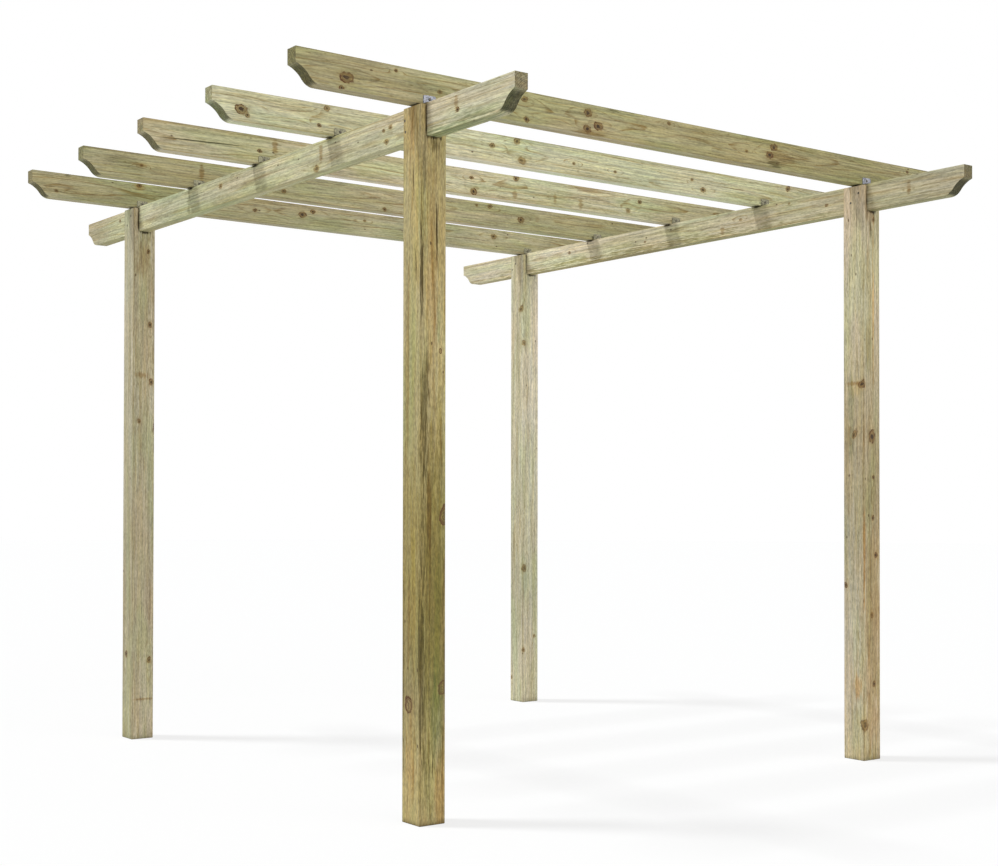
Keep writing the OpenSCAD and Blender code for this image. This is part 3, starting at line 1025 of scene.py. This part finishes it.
CRACKS = {
    "post_front_left": [
        (FRONT, (0.72, 8), (0.60, 15), 2.4, 14), (FRONT, (0.64, -37), (0.42, -39), 2.6, 14),
        (LEFT, (0.85, -8), (0.77, -9), 2.0, 10), (FRONT, (-0.82, -13), (-0.92, -12), 2.0, 12),
        (LEFT, (0.60, 12), (0.50, 12), 1.6, 8), (RIGHT, (-0.05, 5), (-0.35, 8), 2.4, 14),
        (BACK, (0.45, -8), (0.15, -4), 2.6, 14)],
    "post_front_right": [
        (BACK, (0.50, 6), (0.22, 2), 2.4, 14), (RIGHT, (-0.55, -4), (-0.25, 0), 2.8, 14),
        (FRONT, (0.60, 30), (0.50, 31), 1.6, 8)],
    "post_back_left": [
        (FRONT, (-0.36, 29), (-0.66, 30), 2.0, 12), (BACK, (-0.05, 4), (0.25, 8), 2.6, 14)],
    "post_back_right": [(FRONT, (-0.08, 4), (-0.28, 6), 2.0, 12), (RIGHT, (0.5, -6), (0.3, -4), 2.2, 12)],
    "beam_left": [
        (LEFT, (0.35, 20), (0.52, 12), 1.8, 9), (LEFT, (-0.62, -2), (-0.50, 6), 1.6, 8),
        (RIGHT, (-0.5, 8), (-0.2, 4), 2.0, 10)],
    "beam_right": [(LEFT, (-0.30, -2), (-0.12, 2), 1.6, 8), (RIGHT, (0.8, 8), (1.0, 6), 1.8, 9)],
    "rafter_1": [(FRONT, (0.55, 11), (0.68, 7), 1.5, 7), (BACK, (-0.4, 12), (-0.2, 9), 1.8, 10)],
    "rafter_3": [
        (FRONT, (-1.36, -8), (-1.03, 4), 4.2, 14), (FRONT, (-0.90, 3), (-0.82, 6), 1.8, 8),
        (FRONT, (0.32, -2), (0.62, 5), 1.9, 9)],
    "rafter_4": [(BACK, (0.4, -14), (0.6, -10), 1.8, 10)],
    "rafter_5": [(FRONT, (-1.33, -18), (-1.27, -27), 2.0, 8)],
}
print(sum(len(rows) for rows in CRACKS.values()), "cracks")

# %% [markdown]
# ## Screws
# Two screws go through the cheek of each slotted post top into the beam, sunk a little below
# the face. The small brackets are held by round-headed ones. A head is a turned shape, so its
# outline is spun round, and the cross for the driver is cut out of it. A plain cylinder with a
# bump map would do from far off, but its outline would show close to.

# %% Screw heads
HEAD_STEPS = 20
SUNK_HEAD = [(0.0, -0.5), (3.7, -0.5), (4.0, -0.8), (2.2, -3.0), (0.0, -3.0)]
ROUND_HEAD = [(0.0, 2.7), (1.6, 2.6), (2.9, 2.15), (3.8, 1.4), (4.2, 0.5), (4.2, 0.0), (0.0, 0.0)]
CROSS = (5.0, 1.1, 1.5)
CROSS_RISE = 0.3


def spun(outline):
    """A closed mesh from an outline of (radius, height) in millimetres, spun round Z."""
    mesh = bmesh.new()
    rings = []
    for radius, height in outline:
        steps = HEAD_STEPS if radius else 1
        turns = [2 * pi * i / HEAD_STEPS for i in range(steps)]
        rings.append([mesh.verts.new((radius * cos(a) * MM, radius * sin(a) * MM, height * MM))
                      for a in turns])
    for a, b in zip(rings, rings[1:]):
        for i in range(HEAD_STEPS):
            corners = [a[i % len(a)], b[i % len(b)], b[(i + 1) % len(b)], a[(i + 1) % len(a)]]
            mesh.faces.new(list(dict.fromkeys(corners)))
    bmesh.ops.recalc_face_normals(mesh, faces=mesh.faces)
    return mesh


def add_box(mesh, centre, sides):
    """A box, with its middle and its three sides in millimetres."""
    where = Matrix.Translation(Vector(centre) * MM) @ Matrix.Diagonal((*(Vector(sides) * MM), 1))
    bmesh.ops.create_cube(mesh, size=1.0, matrix=where)


def settled(piece):
    """The piece's mesh with its modifiers applied."""
    graph = bpy.context.evaluated_depsgraph_get()
    return bpy.data.meshes.new_from_object(piece.evaluated_get(graph))


def scratch(name, mesh, material=None):
    """An object in the scene from a bmesh."""
    data = bpy.data.meshes.new(name)
    mesh.to_mesh(data)
    mesh.free()
    if material:
        data.materials.append(material)
    piece = bpy.data.objects.new(name, data)
    bpy.context.scene.collection.objects.link(piece)
    return piece


def cut(piece, cutter, material=None):
    """The piece's mesh with a cutter's bmesh taken away; the cut faces get the material."""
    bmesh.ops.recalc_face_normals(cutter, faces=cutter.faces)
    tool = scratch("cutter", cutter, material)
    modifier = piece.modifiers.new("cut", "BOOLEAN")
    modifier.object = tool
    modifier.operation = "DIFFERENCE"
    modifier.solver = "EXACT"
    modifier.material_mode = "TRANSFER"
    done = settled(piece)
    bpy.data.objects.remove(piece)
    bpy.data.objects.remove(tool)
    return done


def head_mesh(outline):
    """A turned head with its cross, one slot at a time, because a cutter can't cross itself."""
    mesh = spun(outline)
    top = outline[0][1]
    for sides in (CROSS, (CROSS[1], CROSS[0], CROSS[2])):
        slot = bmesh.new()
        add_box(slot, (0, 0, top + CROSS_RISE), sides)
        head = cut(scratch("head", mesh), slot)
        mesh = bmesh.new()
        mesh.from_mesh(head)
    mesh.free()
    return head


HEADS = {"sunk": head_mesh(SUNK_HEAD), "round": head_mesh(ROUND_HEAD)}
print("screw heads:", {name: len(mesh.polygons) for name, mesh in HEADS.items()}, "faces")

# %% [markdown]
# ### Where the post screws go
# Each post has its pair of screws in its left face. A fitter drives them by eye, so every post
# has its own two places, in millimetres across the face and down from the top. Each gets a
# countersink, cut out of the post, because a head laid on a flat face would look stuck on.

# %% Screw places and countersinks
COUNTERSINK = (9.4, 4.4, 3.4)
COUNTERSINK_PROUD = 0.5 * MM
POST_SCREWS = {
    "post_front_left": [(37, 36), (34, 69)],
    "post_front_right": [(-23, 28), (12, 59)],
    "post_back_left": [(-14, 30), (18, 62)],
    "post_back_right": [(11, 38), (36, 63)],
}


def screw_place(node, side, below_top):
    """Where a screw enters a post's left face, with its local Z pointing out."""
    low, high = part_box(node)
    centre = middle(node)
    place = Vector((low.x, centre.y + side * MM, high.z - below_top * MM))
    facing_out = Vector((-1, 0, 0)).to_track_quat("Z", "Y").to_matrix().to_4x4()
    return Matrix.Translation(place) @ facing_out


def add_countersink(cutter, node, side, below_top):
    """A cone on the post's left face, across from its middle and down from its top."""
    wide, narrow, deep = (value * MM for value in COUNTERSINK)
    where = screw_place(node, side, below_top) @ Matrix.Translation((0, 0, COUNTERSINK_PROUD - deep / 2))
    bmesh.ops.create_cone(cutter, cap_ends=True, segments=HEAD_STEPS, radius1=narrow / 2,
                          radius2=wide / 2, depth=deep, matrix=where)


print(sum(len(pair) for pair in POST_SCREWS.values()), "countersinks,", COUNTERSINK[0], "mm wide")

# %% [markdown]
# ## Making the timbers
# Each timber goes through the same bench: copy, ease, cut, slice and weather. Rounding and
# cutting leave slivers thinner than a hair, which are closed up first. Then the normals are
# weighted by face size, so the big faces stay flat and only the eased edges shade round. Without
# that, smooth shading would bend the light over the whole face.

# %% Finishing a piece
SLIVER = 0.03 * MM


def clean_up(mesh):
    """Closes up the slivers that rounding and cutting leave, which would export as stray faces."""
    bmesh.ops.remove_doubles(mesh, verts=mesh.verts, dist=SLIVER)
    bmesh.ops.dissolve_degenerate(mesh, edges=mesh.edges, dist=SLIVER)
    gaps = [edge for edge in mesh.edges if len(edge.link_faces) == 1]
    bmesh.ops.holes_fill(mesh, edges=gaps, sides=0)


def finished(name, mesh, *materials):
    """A finished piece: smooth, but for its sharp edges, with normals weighted by face size."""
    clean_up(mesh)
    for face in mesh.faces:
        face.smooth = True
    for edge in mesh.edges:
        edge.smooth = not (len(edge.link_faces) == 2 and edge.calc_face_angle(0) > SHARP)
    piece = scratch(name, mesh)
    modifier = piece.modifiers.new("weights", "WEIGHTED_NORMAL")
    modifier.keep_sharp = True
    piece.data = settled(piece)
    piece.modifiers.clear()
    piece.data.materials.clear()
    for material in materials:
        piece.data.materials.append(material)
    return piece


def stand_for(piece, node):
    """Hands a finished piece over: it rides with the frame in place of the model's node."""
    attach(piece, "root")
    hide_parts(node)


print("slivers under", round(SLIVER / MM, 2), "mm are closed up")

# %% Timbers
def make_timber(node):
    block = scratch("block", ease(whole_copy(node), node), FINISH[node])
    cutter = bmesh.new()
    for one in CRACKS.get(node, []):
        add_wedge(cutter, node, *one)
    for one in POST_SCREWS.get(node, []):
        add_countersink(cutter, node, *one)
    mesh = bmesh.new()
    if cutter.verts:
        mesh.from_mesh(cut(block, cutter, SHADED_CUT_WOOD))
    else:
        mesh.from_mesh(block.data)
        bpy.data.objects.remove(block)
    slice_up(mesh, node)
    weather(mesh, node)
    piece = finished(f"{node}_timber", mesh, FINISH[node], SHADED_CUT_WOOD)
    stand_for(piece, node)
    return piece


TIMBERS = {node: make_timber(node) for node in WOOD}
print("timber faces:", sum(len(p.data.polygons) for p in TIMBERS.values()))

# %% [markdown]
# ## Brackets
# Small galvanised angle brackets are cut and bent from sheet. The bend is round, the corners
# are clipped round, and the rest is only deburred. Zinc crystals make the sheet's pale and dark
# flakes, so its colour and roughness change from flake to flake. The front pair is still
# bright; those further in have dulled, and so have the screws.

# %% Zinc finish
def zinc_finish(name, dark, pale, rough):
    bench = Bench(name)
    at = bench.node("ShaderNodeTexCoord", out="Object")
    spangle = {"feature": "F1", "voronoi_dimensions": "3D"}
    flakes = bench.node("ShaderNodeTexVoronoi", spangle, out="Color", Vector=at, Scale=230.0)
    flake = bench.node("ShaderNodeSeparateColor", {}, flakes, out="Red")
    bloom = bench.noise(at, 140.0, 3.0)
    colour = bench.mix(flake * 0.7 + bloom * 0.6 - 0.15, dark, pale)
    bump = bench.node("ShaderNodeBump", {}, Strength=0.35, Distance=0.15 * MM, Height=bloom)
    shader = bench.node("ShaderNodeBsdfPrincipled", {}, **{
        "Base Color": colour, "Metallic": 0.9, "Roughness": rough + flake * 0.22, "Normal": bump})
    bench.node("ShaderNodeOutputMaterial", {}, Surface=shader)
    return bench.material


ZINC = zinc_finish("galvanised_sheet", (0.08, 0.085, 0.105), (0.42, 0.43, 0.48), 0.28)
DULL_ZINC = zinc_finish("dulled_sheet", (0.080, 0.076, 0.052), (0.40, 0.385, 0.27), 0.34)
SCREW_ZINC = zinc_finish("screw_zinc", (0.07, 0.065, 0.055), (0.24, 0.22, 0.18), 0.34)
print("zinc finishes:", ZINC.name, DULL_ZINC.name, SCREW_ZINC.name)

# %% Brackets
BRACKETS = [f"bracket_{i}_{side}" for i in range(1, 6) for side in ("left", "right")]
OUTER_BEND = 2.8 * MM
INNER_BEND = 1.0 * MM
CLIPPED_CORNER = 5.0 * MM
DEBURR = 0.3 * MM


def sheet_thickness(node):
    """How far the upright leg's near face stands in front of its back."""
    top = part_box(node)[1].z
    upright = [v.co.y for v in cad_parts[node].data.vertices if v.co.z > top - NEAR]
    return max(upright) - min(upright)


SHEET = sheet_thickness(BRACKETS[0])


def edges_at(mesh, *tests):
    """Edges whose two ends both pass every test, each an axis and a value."""
    return [e for e in mesh.edges
            if all(abs(v.co[axis] - value) < NEAR for v in e.verts for axis, value in tests)]


def make_bracket(node):
    mesh = whole_copy(node)
    low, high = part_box(node)
    for x in (low.x, high.x):
        round_off(mesh, edges_at(mesh, (0, x), (2, high.z)), CLIPPED_CORNER, steps=6)
        round_off(mesh, edges_at(mesh, (0, x), (1, low.y)), CLIPPED_CORNER, steps=6)
    round_off(mesh, edges_at(mesh, (1, high.y), (2, low.z)), OUTER_BEND, steps=6)
    round_off(mesh, edges_at(mesh, (1, high.y - SHEET), (2, low.z + SHEET)), INNER_BEND, steps=4)
    round_off(mesh, sharp_edges(mesh), DEBURR, steps=2)
    piece = finished(f"{node}_plate", mesh, ZINC if "_1_" in node else DULL_ZINC)
    stand_for(piece, node)
    return piece


PLATES = [make_bracket(node) for node in BRACKETS]
print(len(PLATES), "brackets of", round(SHEET / MM, 2), "mm sheet")

# %% [markdown]
# ## Driving the screws
# One turned head of each kind is copied to every place, turned a little so that no two crosses
# line up, and the copies at one joint are joined into one piece.

# %% Screws
HOLE_FROM_CORNER = 15 * MM
FIRST_TURN, NEXT_TURN, JOINT_TURN = 0.5, 0.9, 0.7


def drive(name, places, kind):
    """Puts copies of a head at the places, each a matrix whose Z points out of the work."""
    joint = bmesh.new()
    for count, place in enumerate(places):
        copy = HEADS[kind].copy()
        turn = FIRST_TURN + NEXT_TURN * count + JOINT_TURN * len(name)
        copy.transform(place @ Matrix.Rotation(turn, 4, "Z"))
        joint.from_mesh(copy)
        bpy.data.meshes.remove(copy)
    piece = finished(name, joint, SCREW_ZINC)
    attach(piece, "root")
    return piece


def bracket_places(node):
    """A bracket's two holes: in the upright leg, facing front, and in the flat leg, facing up."""
    low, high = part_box(node)
    x = middle(node).x
    front = Matrix.Translation((x, high.y - SHEET, low.z + HOLE_FROM_CORNER))
    top = Matrix.Translation((x, high.y - HOLE_FROM_CORNER, low.z + SHEET))
    return [front @ Matrix.Rotation(pi / 2, 4, "X"), top]


SCREWS = [drive(f"{node}_screws", [screw_place(node, *one) for one in POST_SCREWS[node]], "sunk")
          for node in POSTS]
SCREWS += [drive(f"{node}_screws", bracket_places(node), "round") for node in BRACKETS]
print(len(SCREWS), "sets of screws,", sum(len(p.data.polygons) for p in SCREWS), "faces")

# %% [markdown]
# ## Light, floor and background
# A white studio. The main light hangs high, a little behind and to the left, so each rafter
# throws a soft band of shade down the beam under it. A wide weak light fills the front, and a
# pale floor sends light back up under the rafters. Both lamps are suns, because the light of an
# area lamp would fall off across a frame three metres wide. The floor and the air show as white
# to the camera and to shiny metal, without adding any light to the wood.

# %% Light and floor
AIR_LIGHT = 0.33
FLOOR_GLOW = 0.78
FLOOR_RADIUS = 30
FLOOR_STEPS = 96


def soft_sun(name, towards, strength, spread, colour):
    """A lamp as even as the sky, from a direction given as a vector towards it."""
    data = bpy.data.lights.new(name, "SUN")
    data.energy = strength * pi
    data.angle = radians(spread)
    data.color = colour
    light = bpy.data.objects.new(name, data)
    bpy.context.scene.collection.objects.link(light)
    light.rotation_euler = Vector(towards).to_track_quat("Z", "Y").to_euler()


def white_to_camera(bench):
    """1 for rays from the camera, and for what shiny metal or glass shows of the background."""
    rays = [bench.node("ShaderNodeLightPath", {}, out=name)
            for name in ("Is Camera Ray", "Is Glossy Ray", "Is Transmission Ray")]
    total = rays[0] + rays[1] + rays[2]
    return total.maths("MINIMUM", 1.0)


def floor_finish():
    bench = Bench("pale_floor")
    matt = bench.node("ShaderNodeBsdfDiffuse", {}, Color=(0.78, 0.78, 0.78))
    glow = bench.node("ShaderNodeEmission", {}, Color=(1.0, 1.0, 1.0), Strength=1.0)
    both = bench.node("ShaderNodeMixShader", {}, white_to_camera(bench) * FLOOR_GLOW, matt, glow)
    bench.node("ShaderNodeOutputMaterial", {}, Surface=both)
    return bench.material


def add_floor():
    mesh = bmesh.new()
    bmesh.ops.create_circle(mesh, cap_ends=True, radius=FLOOR_RADIUS, segments=FLOOR_STEPS)
    floor = scratch("floor", mesh, floor_finish())


def light_the_air():
    world = bpy.data.worlds.new("studio")
    bpy.context.scene.world = world
    world.use_nodes = True
    bench = Bench("air", world)
    dim = bench.node("ShaderNodeBackground", {}, Color=(1.0, 1.0, 1.0), Strength=AIR_LIGHT)
    white = bench.node("ShaderNodeBackground", {}, Color=(1.0, 1.0, 1.0), Strength=1.0)
    both = bench.node("ShaderNodeMixShader", {}, white_to_camera(bench), dim, white)
    bench.node("ShaderNodeOutputWorld", {}, Surface=both)


bpy.context.scene.view_settings.view_transform = "Standard"
add_floor()
light_the_air()
soft_sun("high_light", towards=(-0.34, 0.28, 0.90), strength=0.88, spread=8, colour=(0.97, 0.99, 1.0))
soft_sun("front_fill", towards=(0.15, -0.90, 0.40), strength=0.35, spread=70, colour=(1.0, 0.97, 0.92))
print("two lamps, and air that gives", AIR_LIGHT, "of white from all round")
